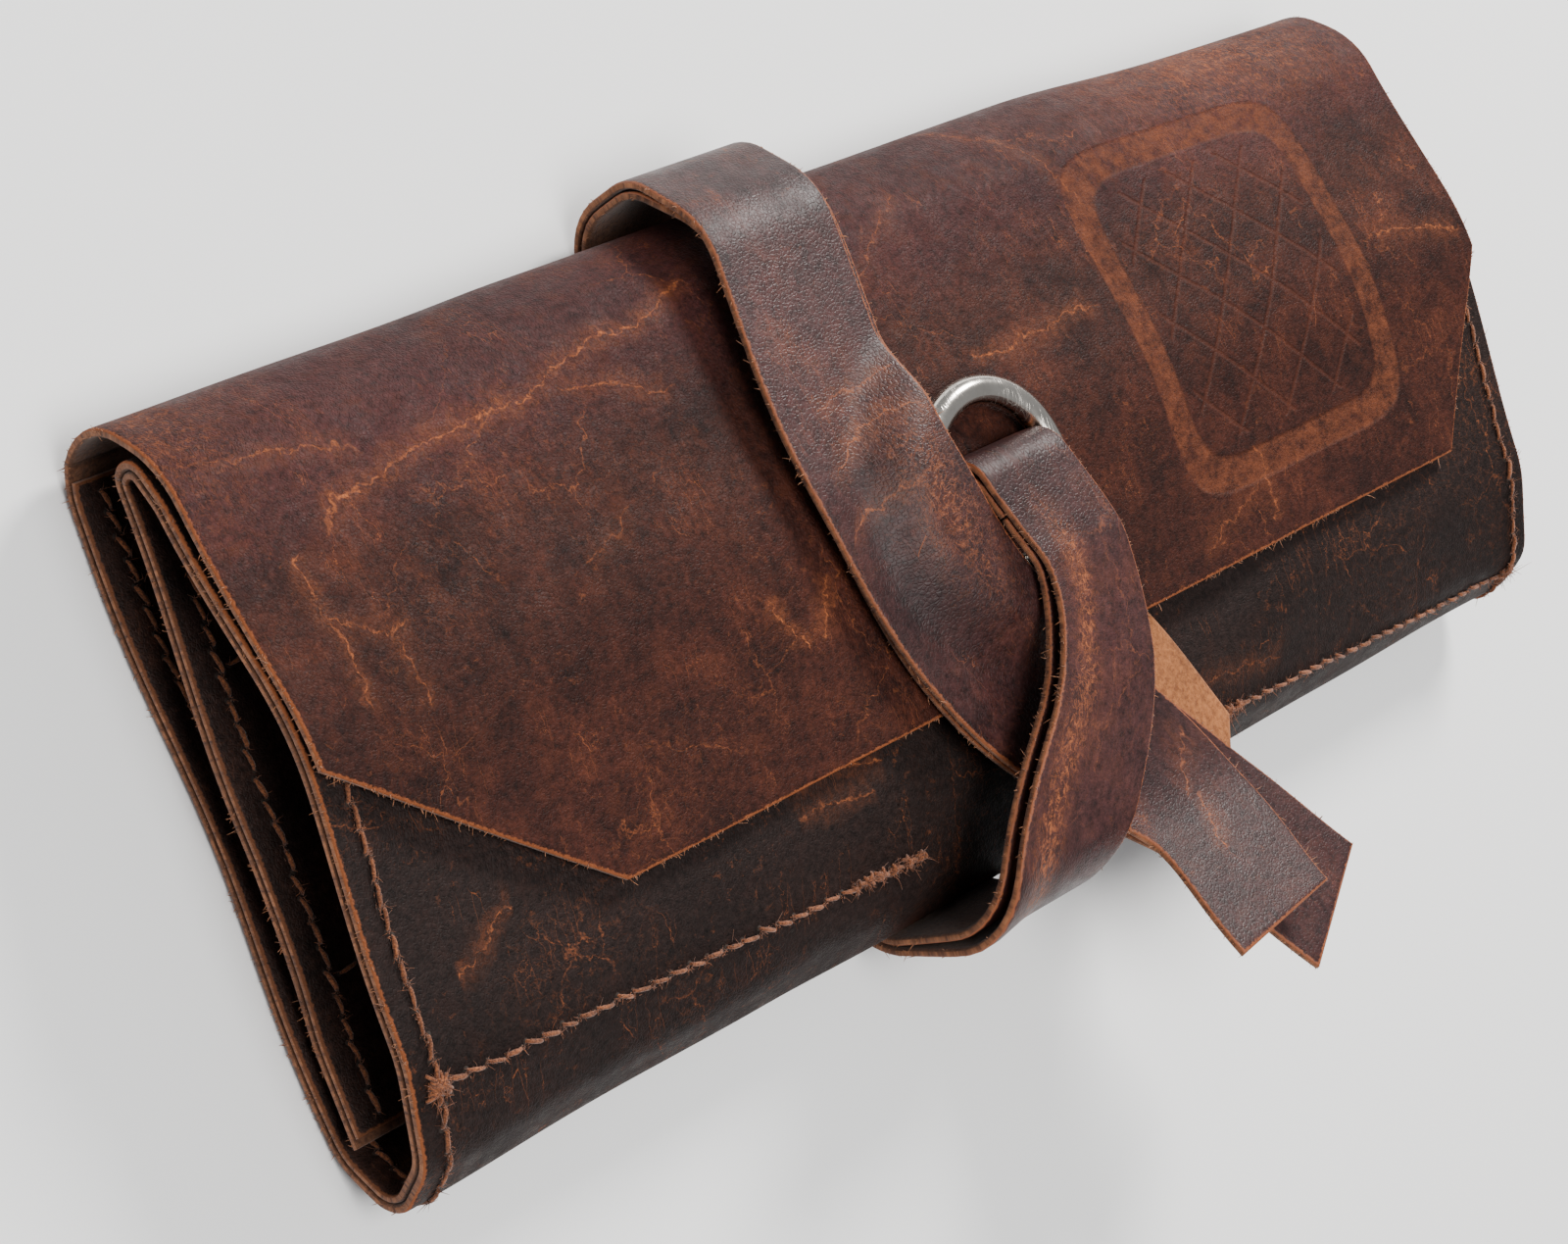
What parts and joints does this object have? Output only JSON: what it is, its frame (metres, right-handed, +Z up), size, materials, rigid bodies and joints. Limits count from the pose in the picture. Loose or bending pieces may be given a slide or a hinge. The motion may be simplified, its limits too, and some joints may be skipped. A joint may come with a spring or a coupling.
{
  "type": "brush roll case",
  "caption": "Rolled leather brush case with sewn inner pocket strips, a chamfered flap, and a doubled strap wrapped round it and tied through a steel ring.",
  "frame": {"origin": "on the resting plane, under the middle of the object's bounding box, tails included", "axes": "+X along the roll's axis, +Y towards the top fold that the flap comes over, +Z up from the back that the roll lies on"},
  "size_m": [0.404, 0.2299, 0.065],
  "materials": {
    "cover_leather": "waxed pull-up, reddish brown",
    "pocket_leather": "waxed, dark brown",
    "strap_leather": "waxed pull-up, purplish brown",
    "strap_flesh_side": "raw tan flesh side",
    "waxed_thread": "waxed, orange brown",
    "nickel_steel": "worn nickel"
  },
  "bodies": {
    "roll": {"cover_panel": "cover_leather", "pocket_strip_left": "pocket_leather", "pocket_strip_right": "pocket_leather", "strap_inner_turn": "strap_leather", "strap_outer_turn": "strap_leather", "strap_anchor_end": "strap_flesh_side", "end_seam_left_inner": "waxed_thread", "end_seam_left_outer": "waxed_thread", "end_seam_right_inner": "waxed_thread", "end_seam_right_outer": "waxed_thread", "divider_seam_left_1_inner": "waxed_thread", "divider_seam_left_1_outer": "waxed_thread", "divider_seam_left_2_inner": "waxed_thread", "divider_seam_left_2_outer": "waxed_thread", "divider_seam_left_3_inner": "waxed_thread", "divider_seam_left_3_outer": "waxed_thread", "divider_seam_left_4_inner": "waxed_thread", "divider_seam_left_4_outer": "waxed_thread", "divider_seam_left_5_inner": "waxed_thread", "divider_seam_left_5_outer": "waxed_thread", "divider_seam_left_6_inner": "waxed_thread", "divider_seam_left_6_outer": "waxed_thread", "divider_seam_right_1_inner": "waxed_thread", "divider_seam_right_1_outer": "waxed_thread", "divider_seam_right_2_inner": "waxed_thread", "divider_seam_right_2_outer": "waxed_thread", "divider_seam_right_3_inner": "waxed_thread", "divider_seam_right_3_outer": "waxed_thread", "divider_seam_right_4_inner": "waxed_thread", "divider_seam_right_4_outer": "waxed_thread", "divider_seam_right_5_inner": "waxed_thread", "divider_seam_right_5_outer": "waxed_thread", "divider_seam_right_6_inner": "waxed_thread", "divider_seam_right_6_outer": "waxed_thread"},
    "ring": {"closure_ring": "nickel_steel"},
    "tail_lower": {"strap_tail_lower": "strap_leather"},
    "tail_upper": {"strap_tail_upper": "strap_leather"}
  },
  "joints": [
    {"name": "ring_spin", "type": "hinge", "parent": "roll", "child": "ring", "pos_m": [-0.0024, 0.02147, 0.05169], "axis": [0, -0.0483, 0.9988], "continuous": true},
    {"name": "lower_tail_lift", "type": "hinge", "parent": "roll", "child": "tail_lower", "pos_m": [0.01025, -0.04705, 0.0476], "axis": [-0.4725, -0.8813, 0], "range_deg": [0, 40]},
    {"name": "upper_tail_lift", "type": "hinge", "parent": "tail_lower", "child": "tail_upper", "pos_m": [0.01025, -0.04705, 0.0476], "axis": [-0.4725, -0.8813, 0], "range_deg": [0, 40]}
  ]
}
